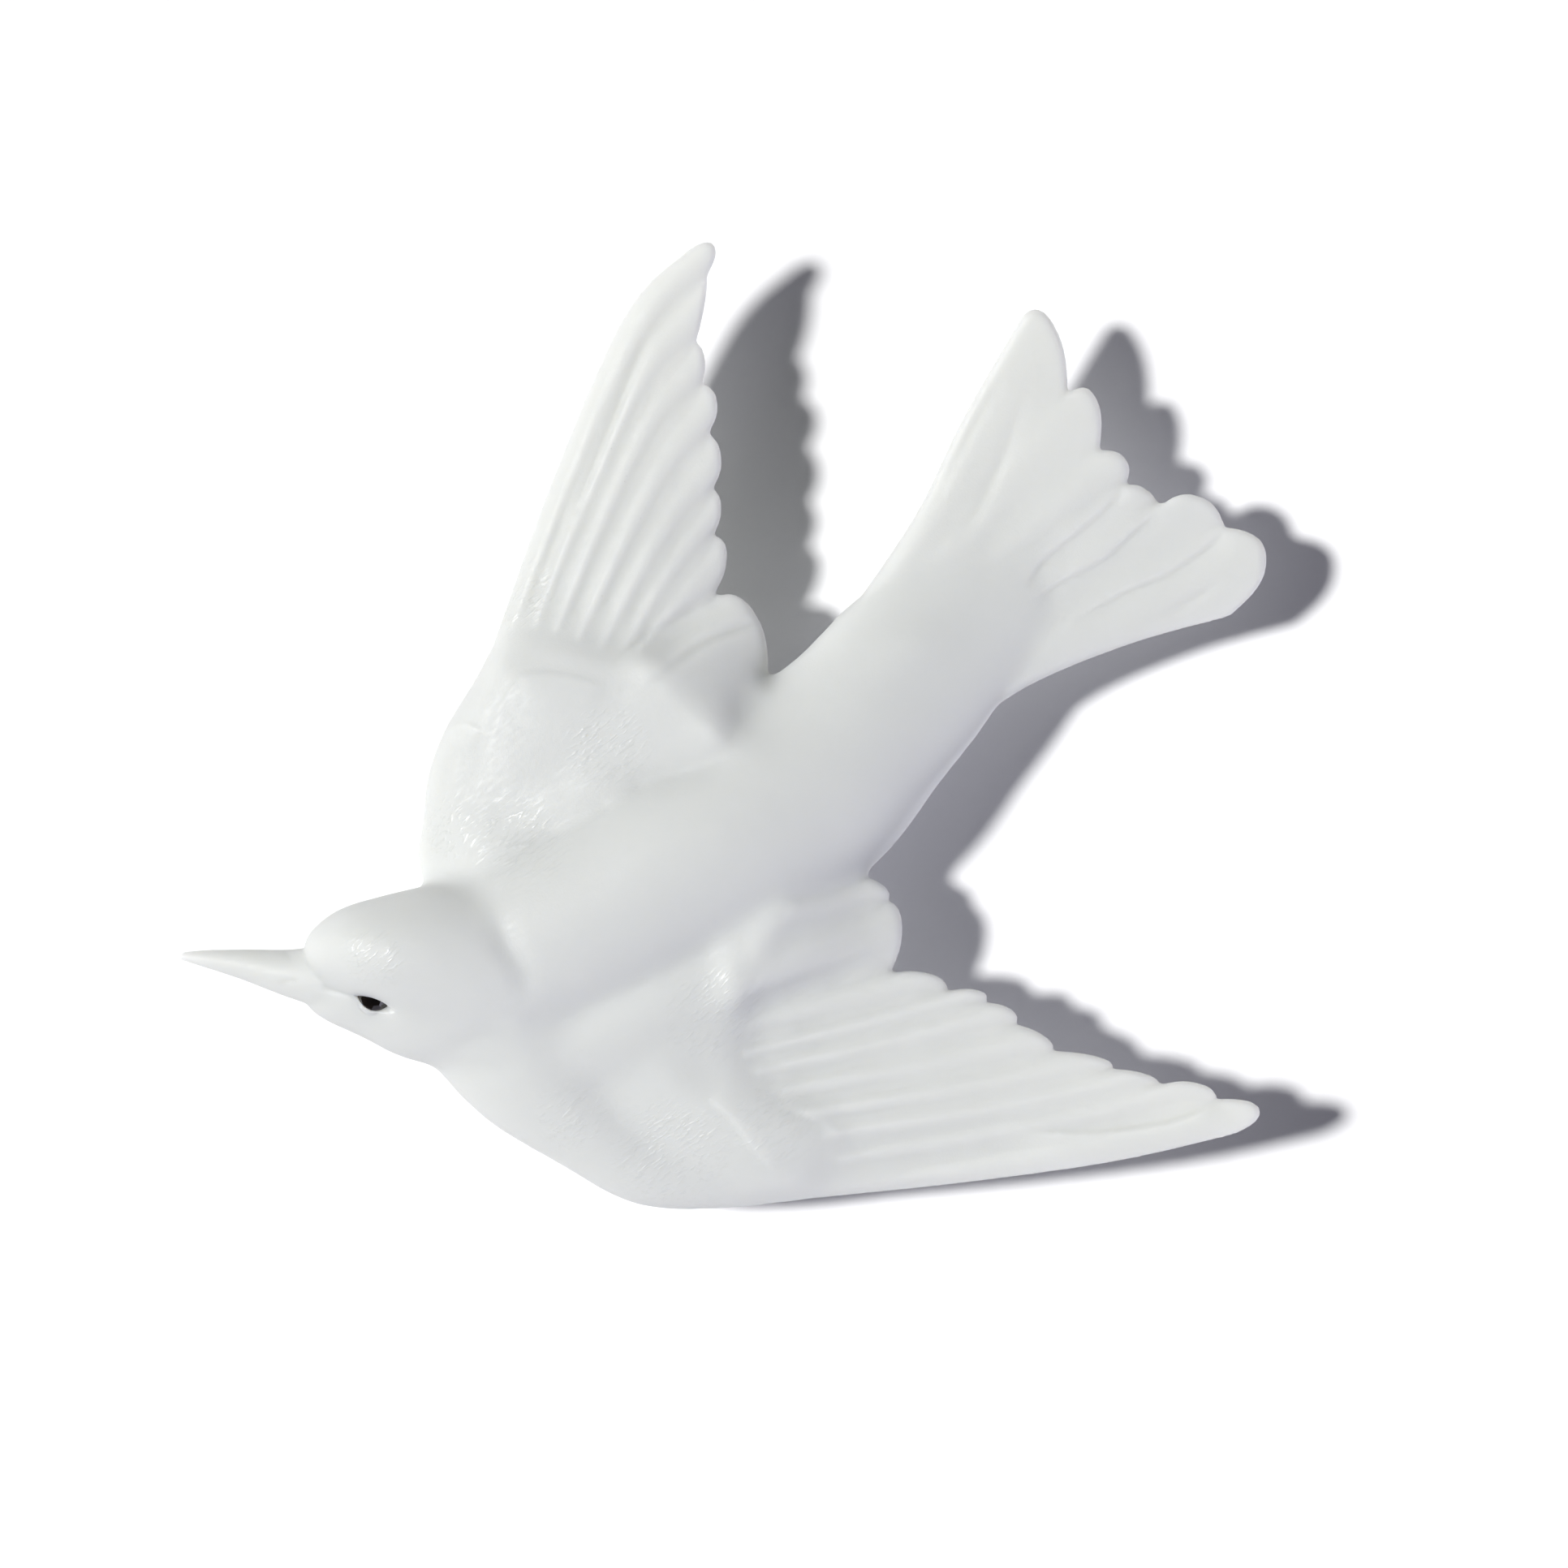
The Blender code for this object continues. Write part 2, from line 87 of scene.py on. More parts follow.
# %% Hang the camera
VIEW_WIDTH = 0.1932
VIEW_HEIGHT = 0.95
MID_HEIGHT = 0.016
SENSOR = 36.0
centre = on_plan((96.6, 96.6, 0))
bpy.ops.object.camera_add(location=(centre[0], centre[1], VIEW_HEIGHT), rotation=(0, 0, FLIGHT_TURN))
camera = bpy.context.object
camera.name = "overhead_camera"
camera.data.sensor_width = SENSOR
camera.data.lens = SENSOR * (VIEW_HEIGHT - MID_HEIGHT) / VIEW_WIDTH
bpy.context.scene.camera = camera
print("lens", round(camera.data.lens, 1), "mm")

# %% [markdown]
# ## Table, sun and soft room light
# One clear light stands at the left and throws soft-edged shadows to the right, about two thirds as long as
# the wings are high, and a dim white room fills them. The table is so brightly lit that it reads as pure
# white. The sun lamp is given the width of a real studio lamp, which is what softens the edge of the shadow.
# Two white cards stand low, in front and on the right. They send a little light back into the shaded flanks
# but hardly any to the table, so that the shadows stay deep.

# %% Node and colour helpers
def srgb(text):
    """A colour written as six hexadecimal digits, as the linear values that a shader takes."""
    values = [int(text[k : k + 2], 16) / 255 for k in (0, 2, 4)]
    linear = [v / 12.92 if v <= 0.04045 else ((v + 0.055) / 1.055) ** 2.4 for v in values]
    return (*linear, 1.0)


def add_node(tree, kind, settings=None, **inputs):
    """Adds a node. `settings` are its own switches, and each input is a value or another node's output."""
    node = tree.nodes.new(kind)
    for name, value in (settings or {}).items():
        setattr(node, name, value)
    for name, value in inputs.items():
        key = int(name[1:]) if name[0] == "_" and name[1:].isdigit() else name.replace("_", " ")
        if isinstance(value, bpy.types.NodeSocket):
            tree.links.new(value, node.inputs[key])
        else:
            node.inputs[key].default_value = value
    return node


def new_material(name):
    """An empty material with its Principled shader."""
    made = bpy.data.materials.new(name)
    made.use_nodes = True
    return made, made.node_tree, made.node_tree.nodes["Principled BSDF"]


print("a middle grey as the shader takes it:", round(srgb("808080")[0], 3))

# %% The table
TABLE_SIZE = 8.0  # so wide that its edge never shows
PAPER_GRAIN = 900.0  # a little over 1 mm to a grain
bpy.ops.object.select_all(action="DESELECT")
bpy.ops.mesh.primitive_plane_add(size=TABLE_SIZE, location=(0, 0, 0))
table = bpy.context.object
table.name = "white_table"
paper, tree, shader = new_material("white paper")
place = add_node(tree, "ShaderNodeTexCoord")
grain = add_node(tree, "ShaderNodeTexNoise", Vector=place.outputs["Object"], Scale=PAPER_GRAIN, Detail=2.0)
tone = add_node(tree, "ShaderNodeMapRange", Value=grain.outputs["Fac"], To_Min=0.97, To_Max=0.985)
tree.links.new(tone.outputs[0], shader.inputs["Base Color"])
shader.inputs["Roughness"].default_value = 0.8
table.data.materials.append(paper)
print("table", table.name)

# %% The lights
SHADOW_RUN = 0.68  # length of a shadow on the table, as a share of the height above it
LAMP_WIDTH = math.radians(7.0)
LAMP_STRENGTH = 3.6
CARD_WIDTH = math.radians(60.0)
# each card: the way towards it, and its strength
CARDS = {"front_card": ((0.35, -1.0, 0.2), 0.5), "right_card": ((1.0, -0.3, 0.12), 1.7)}
ROOM_STRENGTH = 0.02  # as the bird sees the room; the camera sees it white
to_lamp = Matrix.Rotation(FLIGHT_TURN, 3, "Z") @ Vector((-SHADOW_RUN, 0.08 * SHADOW_RUN, 1.0)).normalized()
bpy.ops.object.light_add(type="SUN", location=to_lamp, rotation=to_lamp.to_track_quat("Z", "Y").to_euler())
lamp = bpy.context.object
lamp.name = "studio_lamp"
lamp.data.energy = LAMP_STRENGTH
lamp.data.angle = LAMP_WIDTH
for name, (way, strength) in CARDS.items():
    to_card = Matrix.Rotation(FLIGHT_TURN, 3, "Z") @ Vector(way).normalized()
    turned = to_card.to_track_quat("Z", "Y").to_euler()
    bpy.ops.object.light_add(type="SUN", location=to_card, rotation=turned)
    card = bpy.context.object
    card.name = name
    card.data.energy = strength
    card.data.color = srgb("E8E6FB")[:3]
    card.data.angle = CARD_WIDTH
room = bpy.data.worlds.new("white room")
room.use_nodes = True
backdrop = room.node_tree.nodes["Background"]
rays = add_node(room.node_tree, "ShaderNodeLightPath")
room_glow = add_node(
    room.node_tree, "ShaderNodeMapRange",
    Value=rays.outputs["Is Camera Ray"], To_Min=ROOM_STRENGTH, To_Max=1.0,
)
backdrop.inputs["Color"].default_value = srgb("EDEBFA")
room.node_tree.links.new(room_glow.outputs[0], backdrop.inputs["Strength"])
bpy.context.scene.world = room
bpy.context.scene.view_settings.view_transform = "Standard"
print("lamp stands", round(math.degrees(math.asin(to_lamp.z))), "degrees high")

# %% [markdown]
# ## Smooth curves
# All forms are drawn through a few named points. `through` gives points on the smooth curve through them, and
# `smoothstep` is the gentle slope that blends one form into the next.

# %% Curve helpers
def through(points, at):
    """Points on the smooth curve through the given ones; `at` counts them, so 1.5 is half way from 1 to 2."""
    points = np.asarray(points, float)
    at = np.asarray(at, float)
    last = len(points) - 1
    before = np.clip(np.floor(at).astype(int), 0, last - 1)
    f = (at - before)[:, None]
    p0 = points[np.clip(before - 1, 0, last)]
    p1, p2 = points[before], points[before + 1]
    p3 = points[np.clip(before + 2, 0, last)]
    square, cube = 2 * p0 - 5 * p1 + 4 * p2 - p3, 3 * p1 - p0 - 3 * p2 + p3
    return 0.5 * (2 * p1 + (p2 - p0) * f + square * f**2 + cube * f**3)


def spaced(curve, count):
    """So many points, evenly along the smooth curve through the given ones."""
    return through(curve, np.linspace(0, len(curve) - 1, count))


def smoothstep(low, high, value):
    """0 below low, 1 above high, and an even slope between."""
    f = np.clip((value - low) / (high - low), 0.0, 1.0)
    return f * f * (3 - 2 * f)


def points_of(made):
    """The places of a mesh object's points, as an array."""
    flat = np.empty(3 * len(made.data.vertices))
    made.data.vertices.foreach_get("co", flat)
    return flat.reshape(-1, 3)


def move_points(made, places):
    """Gives a mesh object's points their new places."""
    made.data.vertices.foreach_set("co", np.ascontiguousarray(places, float).ravel())
    made.data.update()


print("half way up the slope:", smoothstep(0, 1, 0.5))

# %% [markdown]
# ## Body, head, beak and arms
# These are long oval forms. Each starts as a sphere whose rings are drawn out, one after the other, to the
# oval sections in its table, as clay is pulled out over a wire. Every section is x and y on the plan, half
# the width, and the height of the top and of the underside. The crown and the cheeks are two forms, because
# the head is turned and leans, so that its left cheek faces up.

# %% The oval sections
BODY = [
    (56.0, 121.0, 9.0, 24.4, 8.0), (65.0, 116.0, 12.4, 25.4, 3.4), (74.0, 111.5, 13.8, 25.9, 0.3),
    (82.5, 106.5, 14.2, 26.2, -1.2), (91.0, 101.8, 14.0, 25.8, -1.0), (100.0, 95.8, 13.3, 24.2, 1.6),
    (107.0, 88.8, 11.8, 22.2, 4.6), (112.6, 82.4, 11.4, 20.2, 7.6), (118.4, 76.2, 10.0, 18.4, 10.6),
    (124.0, 70.6, 7.6, 17.0, 13.0), (129.0, 66.0, 4.6, 16.2, 14.4),
]
CROWN = [
    (37.9, 118.2, 1.9, 20.6, 14.4), (40.2, 117.4, 3.9, 23.2, 12.6), (43.4, 116.9, 5.5, 25.4, 11.4),
    (47.5, 117.0, 6.9, 26.6, 10.6), (53.0, 117.4, 8.6, 26.7, 10.0), (60.0, 118.2, 10.0, 25.9, 9.0),
    (68.0, 117.0, 10.6, 24.4, 8.0), (75.0, 114.0, 10.6, 22.4, 8.0),
]
CHEEKS = [
    (37.6, 120.8, 2.8, 18.8, 12.8), (41.0, 121.4, 4.8, 20.4, 10.8), (46.0, 121.4, 7.2, 21.6, 9.2),
    (51.0, 121.6, 9.2, 22.8, 8.2), (57.0, 121.6, 10.2, 23.8, 7.2), (64.0, 121.4, 10.8, 24.0, 6.5),
]
BEAK = [
    (22.2, 117.8, 0.45, 16.6, 15.7), (25.2, 118.1, 1.05, 17.3, 15.1), (30.0, 118.8, 1.85, 18.3, 14.7),
    (36.0, 119.9, 3.0, 19.5, 14.0), (41.0, 120.4, 4.2, 20.6, 13.6),
]
RIGHT_SHOULDER = [
    (72.0, 114.0, 11.0, 23.8, 7.0), (66.0, 108.6, 12.4, 22.6, 7.4), (62.4, 102.4, 10.6, 21.0, 8.2),
    (60.0, 96.0, 8.0, 19.6, 9.4), (59.7, 90.6, 5.2, 18.6, 10.8), (61.4, 84.6, 3.2, 18.4, 12.4),
    (64.6, 76.0, 2.2, 18.6, 14.4), (69.0, 64.0, 1.4, 18.8, 16.2),
]
LEFT_SHOULDER = [
    (63.5, 121.0, 11.4, 23.4, 6.6), (64.6, 126.0, 12.4, 22.4, 6.4), (67.6, 132.0, 10.1, 21.0, 6.4),
    (73.0, 138.0, 7.1, 19.4, 6.8), (80.5, 142.7, 6.4, 17.8, 7.4), (89.0, 144.8, 4.5, 16.8, 8.8),
    (99.0, 145.2, 3.0, 16.4, 10.8), (112.0, 144.8, 1.8, 16.6, 13.0),
]
RIGHT_SCAPULARS = [
    (60.0, 109.0, 7.0, 20.4, 10.0), (66.0, 102.0, 8.0, 21.6, 10.0), (74.0, 97.4, 8.0, 22.6, 11.0),
    (82.0, 93.2, 7.0, 22.2, 12.0), (89.0, 88.6, 5.6, 20.6, 13.0), (94.0, 84.4, 3.6, 18.6, 14.0),
]
LEFT_SCAPULARS = [
    (63.0, 128.0, 8.0, 20.8, 9.0), (71.0, 127.4, 8.6, 21.6, 9.0), (79.0, 124.4, 8.6, 22.0, 10.0),
    (87.0, 119.8, 7.6, 21.8, 11.0), (95.0, 114.6, 6.2, 20.6, 12.0), (102.0, 109.8, 4.2, 18.8, 13.0),
]
print("sections:", {"body": len(BODY), "crown": len(CROWN), "beak": len(BEAK)})

# %% Draw a sphere out to its sections
AROUND = 56
RINGS = 72
POLE = 0.9999  # above this height a point of the sphere is one of its poles
STRIDE = 0.02  # how far apart two places are compared to find the heading, as a share of the length


def drawn_out(name, sections):
    """A closed oval form through the sections, from a sphere."""
    bpy.ops.object.select_all(action="DESELECT")
    bpy.ops.mesh.primitive_uv_sphere_add(segments=AROUND, ring_count=RINGS, radius=1.0)
    made = bpy.context.object
    made.name = name
    ball = points_of(made)
    along = np.arccos(np.clip(-ball[:, 2], -1, 1)) / math.pi
    around = np.arctan2(ball[:, 1], ball[:, 0])
    share = np.clip((along - 1 / RINGS) / (1 - 2 / RINGS), 0, 1)
    rings = through(sections, share * (len(sections) - 1))
    middles = on_plan(np.column_stack([rings[:, :2], (rings[:, 3] + rings[:, 4]) / 2]))
    ahead = on_plan(through(sections, np.clip(share + STRIDE, 0, 1) * (len(sections) - 1))[:, :3])
    behind = on_plan(through(sections, np.clip(share - STRIDE, 0, 1) * (len(sections) - 1))[:, :3])
    heading = (ahead - behind)[:, :2]
    heading /= np.linalg.norm(heading, axis=1)[:, None]
    open_ring = (np.abs(ball[:, 2]) < POLE) * UNIT
    side = np.column_stack([heading[:, 1], -heading[:, 0], np.zeros(len(ball))]) * rings[:, 2:3]
    rise = np.column_stack([np.zeros((len(ball), 2)), (rings[:, 3] - rings[:, 4]) / 2])
    out = side * np.cos(around)[:, None] + rise * np.sin(around)[:, None]
    move_points(made, middles + out * open_ring[:, None])
    bpy.ops.object.mode_set(mode="EDIT")
    bpy.ops.mesh.select_all(action="SELECT")
    bpy.ops.mesh.normals_make_consistent(inside=False)
    bpy.ops.object.mode_set(mode="OBJECT")
    return made


forms = [
    drawn_out("body_form", BODY),
    drawn_out("crown_form", CROWN),
    drawn_out("cheeks_form", CHEEKS),
    drawn_out("right_arm_form", RIGHT_SHOULDER),
    drawn_out("left_arm_form", LEFT_SHOULDER),
    drawn_out("right_scapular_form", RIGHT_SCAPULARS),
    drawn_out("left_scapular_form", LEFT_SCAPULARS),
]
beak = drawn_out("beak_form", BEAK)
print("oval forms:", [form.name for form in forms], beak.name)

# %% [markdown]
# ## Sheets of feathers
# A wing or the tail of such a casting is a thin sheet, cut into rounded feather ends along its edge, with a
# groove from each notch towards the arm. A sheet is made from two grids, the upper and the lower skin, that
# are bent over the same middle surface and meet at the rim. The rows of the grid follow the feathers, so a
# groove is a change in height across the rows, and the notches come from where the last row lies.

# %% Sizes of the feathers, in metres
WING_EDGE = 0.0017
TAIL_EDGE = 0.0018
FRONT_THICKNESS = 0.0034
HAND_THICKNESS = 0.0036
FLUTE_DEPTH = 0.00068
UNDER_FLUTE_DEPTH = 0.00025
STEP_HEIGHT = 0.00045
COVERT_RISE = 0.0024
UNDERARM_FILL = 0.0030
UNDERARM_REACH = 0.012
EDGE_ROUNDING = 0.7
TIP_LEAN = 0.85
TIP_ROUNDNESS = 2.4
SWELL_REACH = 0.2
BROAD_SWELL_REACH = 1.2
FEATHER_CURVE = 2.2  # how flat a feather's back is across its width
SUNK_LENGTH = 0.12  # how far the front end of the crisp flutes stays sunk, as a share of a feather's length
ARM_ROWS = 30
OVERLAP_ROWS = 4  # the crisp flutes begin this many rows before the small feathers end
FEATHER_ROWS = 90
WING_COLUMNS = 20  # columns of points to a feather
TAIL_COLUMNS = 24
RIGHT_WING = {
    "tips": [
        (88.0, 30.4, 19.2), (86.9, 37.6, 18.9), (86.9, 44.3, 18.5), (88.4, 49.6, 18.2),
        (88.9, 56.4, 17.8), (88.9, 62.6, 17.4), (89.6, 68.8, 17.0), (92.8, 75.2, 16.4),
    ],
    "notches": [
        (87.2, 34.1, 19.0), (85.8, 42.3, 18.7), (86.5, 47.3, 18.3), (87.3, 53.4, 18.0),
        (87.8, 60.2, 17.5), (87.9, 65.9, 17.2), (87.5, 73.9, 16.7),
    ],
    "coverts": [
        (60.2, 81.2, 16.4), (63.4, 80.5, 17.3), (66.0, 80.7, 18.0), (68.6, 81.3, 18.5),
        (71.4, 82.0, 18.9), (74.2, 82.4, 19.1), (76.8, 82.2, 19.2), (79.4, 81.6, 19.2),
        (89.6, 92.4, 19.4),
    ],
    "arm": [
        (57.4, 88.4, 15.0), (53.0, 93.6, 14.6), (51.8, 101.0, 14.7), (52.2, 108.6, 15.0),
        (65.0, 116.6, 15.6),
    ],
    "leading_edge": [(60.2, 81.2, 16.4), (68.0, 59.4, 17.7), (77.0, 39.0, 18.7), (84.8, 31.0, 19.0)],
    "inner_end": (94.6, 84.0, 15.5),
    "broad_from": 7.0,
}
LEFT_WING = {
    "tips": [
        (155.1, 136.6, 17.9), (147.6, 133.4, 17.6), (140.9, 132.2, 17.4), (135.7, 130.3, 17.2),
        (128.8, 127.7, 16.9), (124.7, 124.4, 16.6), (120.6, 122.0, 16.4), (114.8, 120.0, 16.2),
        (111.2, 114.4, 15.9), (108.5, 108.8, 15.6),
    ],
    "notches": [
        (150.0, 135.3, 17.7), (143.0, 133.6, 17.4), (136.7, 131.7, 17.2), (129.7, 129.4, 17.0),
        (125.1, 126.1, 16.7), (121.5, 123.5, 16.5), (116.8, 122.1, 16.2), (109.7, 119.9, 16.0),
        (109.5, 110.9, 15.7),
    ],
    "coverts": [
        (101.4, 147.4, 13.6), (99.6, 140.0, 16.6), (91.4, 133.6, 17.5), (89.4, 127.0, 18.1), (97.0, 110.4, 18.8),
    ],
    "arm": [
        (89.0, 147.6, 12.6), (75.0, 145.0, 12.6), (61.0, 136.2, 13.3), (58.4, 130.4, 13.7), (71.0, 120.5, 14.6),
    ],
    "leading_edge": [(100.0, 147.8, 13.4), (118.0, 145.9, 15.0), (137.0, 143.2, 16.4), (151.8, 139.8, 17.7)],
    "inner_end": (104.4, 107.6, 15.0),
    "broad_from": 8.0,
}
TAIL = {
    "tips": [
        (129.9, 40.1, 16.2), (135.0, 48.9, 15.8), (138.8, 56.6, 15.5), (141.1, 60.1, 15.0),
        (147.6, 61.0, 14.4), (156.2, 68.8, 13.8),
    ],
    "notches": [
        (131.6, 48.6, 15.9), (135.5, 55.5, 15.6), (138.5, 60.0, 15.2), (142.9, 62.6, 14.7),
        (151.1, 64.9, 14.1),
    ],
    "roots": [(103.6, 77.0, 14.6), (109.6, 79.0, 15.4), (115.0, 84.2, 15.1), (118.6, 90.2, 13.8)],
    "right_edge": [(103.6, 77.0, 14.6), (112.7, 63.6, 15.4), (118.6, 51.6, 15.9), (126.0, 38.8, 16.2)],
    "left_edge": [(118.6, 90.2, 13.8), (126.6, 84.6, 13.9), (138.6, 79.6, 13.7), (151.4, 76.0, 13.4)],
    "groove_strength": (0.2, 0.35, 0.5, 1.0, 0.9, 0.9, 0.9),
}
print("feathers:", [len(plan["tips"]) for plan in (RIGHT_WING, LEFT_WING, TAIL)])

# %% The outline and the rounding of a sheet
def scalloped(tips, notches, across):
    """The edge that the feather ends make: from each notch in a round through the tip to the next notch."""
    feather = np.clip(np.floor(across).astype(int), 0, len(tips) - 1)
    f = (across - feather)[:, None]
    start, end, tip = notches[feather], notches[feather + 1], tips[feather]
    fullest = 0.5 ** (1 / TIP_LEAN)
    roundness = 1 - np.abs(2 * f**TIP_LEAN - 1) ** TIP_ROUNDNESS
    return (1 - f) * start + f * end + (tip - (1 - fullest) * start - fullest * end) * roundness


def fanned(starts, ends, along, edges):
    """Points in rows from starts to ends, with its outer columns bent to follow the given edges."""
    row = along[:, None, None]
    points = (1 - row) * starts + row * ends
    share = np.linspace(0, 1, len(starts))
    for edge, column, weight in zip(edges, (0, -1), ((1 - share) ** 1.5, share**1.5)):
        bow = through(edge, along * (len(edge) - 1)) - points[:, column]
        points = points + bow[:, None, :] * weight[None, :, None]
    return points


def from_edge(points, edge):
    """How far each point of a grid lies from the edge beside it, seen from above."""
    return np.linalg.norm((points - edge)[..., :2], axis=2)


def rounded(distance, radius):
    """How full a rounded edge is at this distance from it, from 0 to 1."""
    f = 1 - np.clip(distance / radius, 0.0, 1.0)
    return np.sqrt(np.clip(1 - f * f, 0.0, 1.0))


def flute(across):
    """A feather's own curve across its width: 1 on its back and 0 in the grooves beside it."""
    f = across - np.floor(across)
    return 1 - np.abs(2 * f - 1) ** FEATHER_CURVE


print("flute in a groove, on the side, on the back:", flute(np.array([0.0, 0.2, 0.5])).round(2))

# %% Two grids make a sheet
RIM_GAP = 0.000004  # points of the two skins closer than this are one


def sheet(name, middle, upper, lower):
    """A closed thin body: a grid of middle points, raised by upper and lowered by lower, met at its rim."""
    rows, columns = upper.shape
    skins = []
    for offset in (upper, -lower):
        bpy.ops.object.select_all(action="DESELECT")
        bpy.ops.mesh.primitive_grid_add(x_subdivisions=columns - 1, y_subdivisions=rows - 1, size=1.0)
        skin = bpy.context.object
        flat = points_of(skin)
        column = np.rint((flat[:, 0] + 0.5) * (columns - 1)).astype(int)
        row = np.rint((flat[:, 1] + 0.5) * (rows - 1)).astype(int)
        places = middle[row, column].copy()
        places[:, 2] += offset[row, column]
        move_points(skin, places)
        skins.append(skin)
    skins[0].select_set(True)
    bpy.context.view_layer.objects.active = skins[0]
    bpy.ops.object.join()
    made = bpy.context.object
    made.name = name
    bpy.ops.object.mode_set(mode="EDIT")
    bpy.ops.mesh.select_all(action="SELECT")
    bpy.ops.mesh.remove_doubles(threshold=RIM_GAP)
    bpy.ops.mesh.normals_make_consistent(inside=False)
    bpy.ops.object.mode_set(mode="OBJECT")
    return made


print("skins meet within", round(1000 * RIM_GAP, 3), "mm")

# %% [markdown]
# ## Wings and tail
# Behind the arm a wing is covered by small smooth feathers, and the long flight feathers begin under their
# edge as flutes, shallow at first. Each wing is made twice: once whole, for the soft casting of the trunk, and
# once from the edge of the small feathers outwards, with crisp flutes, whose front end sinks into the trunk.

# %% Make the wings
def wing(name, plan, crisp):
    """One spread wing, whole and soft, or only its crisp flight feathers."""
    tips, coverts, arm = on_plan(plan["tips"]), on_plan(plan["coverts"]), on_plan(plan["arm"])
    lead = on_plan(plan["leading_edge"])
    notches = np.vstack([lead[-1:], on_plan(plan["notches"]), on_plan([plan["inner_end"]])])
    across = np.linspace(0, len(tips), WING_COLUMNS * len(tips) + 1)
    roots, fronts = spaced(coverts, len(across)), spaced(arm, len(across))
    ends = scalloped(tips, notches, across)
    forward = 1 - np.cos(np.linspace(0, math.pi / 2, ARM_ROWS))
    outward = np.sin(np.linspace(0, math.pi / 2, FEATHER_ROWS))
    middle = np.concatenate([fanned(fronts, roots, forward, ()), fanned(roots, ends, outward, (lead,))[1:]])
    along = np.concatenate([forward - 1, outward[1:]])[:, None]
    front, back = from_edge(middle, middle[:1]), from_edge(middle, middle[-1:])
    outer, inner = from_edge(middle, middle[:, :1]), from_edge(middle, middle[:, -1:])
    thick = np.where(
        along < 0,
        HAND_THICKNESS + (FRONT_THICKNESS - HAND_THICKNESS) * smoothstep(0, 1, -along),
        WING_EDGE + (HAND_THICKNESS - WING_EDGE) * (1 - along) ** 1.3,
    )
    edges = ((front, FRONT_THICKNESS), (outer, thick), (back, WING_EDGE), (inner, WING_EDGE))
    full = np.minimum.reduce([rounded(distance, EDGE_ROUNDING * wall) for distance, wall in edges])
    ramp = smoothstep(0.0, 0.16, along) * full
    narrowing = 1 + 1.4 * smoothstep(0.7, 0.0, along)
    groove = 1 - flute(across)[None, :] ** narrowing
    broad = smoothstep(plan["broad_from"] - 0.1, plan["broad_from"] + 0.4, across)[None, :]
    reach = SWELL_REACH + (BROAD_SWELL_REACH - SWELL_REACH) * broad
    swell = COVERT_RISE * smoothstep(-1.0, -0.5, along) * smoothstep(reach, -0.3, along) * full
    fill = UNDERARM_FILL * smoothstep(0.15, -0.7, along) * smoothstep(0.0, UNDERARM_REACH, front) * full
    upper = thick / 2 * full - FLUTE_DEPTH * groove * ramp + swell
    lower = thick / 2 * full - UNDER_FLUTE_DEPTH * groove * ramp + fill
    least = 0.2 * thick / 2 * full
    upper, lower = np.maximum(upper, least), np.maximum(lower, least)
    if crisp:
        kept = slice(ARM_ROWS - OVERLAP_ROWS, None)
        middle, upper, lower, along = middle[kept], upper[kept], lower[kept], along[kept]
        sunk = smoothstep(along[0, 0], SUNK_LENGTH, along)
        upper, lower = upper * sunk, lower * sunk
    return sheet(name, middle, upper, lower)


soft_wings = [wing("right_wing_soft", RIGHT_WING, False), wing("left_wing_soft", LEFT_WING, False)]
crisp_wings = [wing("right_wing_flutes", RIGHT_WING, True), wing("left_wing_flutes", LEFT_WING, True)]
print("wing points:", [len(made.data.vertices) for made in soft_wings + crisp_wings])

# %% [markdown]
# The tail fans out from under the rump. Its upper half is almost smooth, and further down each feather lies a
# little over the next, so that there is a small step at every groove.

# %% Make the tail
def tail(name, plan):
    """The spread tail, each feather a little over the next one to the left."""
    tips, starts = on_plan(plan["tips"]), on_plan(plan["roots"])
    right, left = on_plan(plan["right_edge"]), on_plan(plan["left_edge"])
    feathers = len(tips)
    notches = np.vstack([right[-1:], on_plan(plan["notches"]), left[-1:]])
    across = np.linspace(0, feathers, TAIL_COLUMNS * feathers + 1)
    roots = spaced(starts, len(across))
    ends = scalloped(tips, notches, across)
    along = np.sin(np.linspace(0, math.pi / 2, FEATHER_ROWS))
    middle = fanned(roots, ends, along, (right, left))
    along = along[:, None]
    sides = np.minimum(from_edge(middle, middle[:, :1]), from_edge(middle, middle[:, -1:]))
    thick = TAIL_EDGE + (HAND_THICKNESS - TAIL_EDGE) * (1 - along) ** 1.5
    front, back = from_edge(middle, middle[:1]), from_edge(middle, middle[-1:])
    edges = ((sides, thick), (front, TAIL_EDGE), (back, TAIL_EDGE))
    full = np.minimum.reduce([rounded(distance, EDGE_ROUNDING * wall) for distance, wall in edges])
    ramp = smoothstep(0.05, 0.4, along) * full
    strength = np.interp(across, np.arange(feathers + 1), plan["groove_strength"])[None, :]
    lie = STEP_HEIGHT * (across - np.floor(across) - 0.5)[None, :] * ramp * strength
    groove = (1 - flute(across))[None, :] * strength
    upper = thick / 2 * full - 0.6 * FLUTE_DEPTH * groove * ramp - lie
    return sheet(name, middle, upper, thick / 2 * full)


tail_sheet = tail("tail_feathers", TAIL)
print("tail points:", len(tail_sheet.data.vertices))

# %% [markdown]
# ## Casting the forms into one skin
# The forms overlap, and porcelain has no seams where an arm meets the body. Voxel Remesh lays one even skin
# over all of them, and Smooth then softens the hollows. This is done twice: first coarsely for the trunk, with
# much softening, and then finely for the whole bird, so that the feathers and the beak stay crisp.

# %% Cast the trunk, then the bird
TRUNK_GRAIN = 0.0007
CARVING_GRAIN = 0.00032
TRUNK_SOFTENING = 30
CARVING_SOFTENING = 4


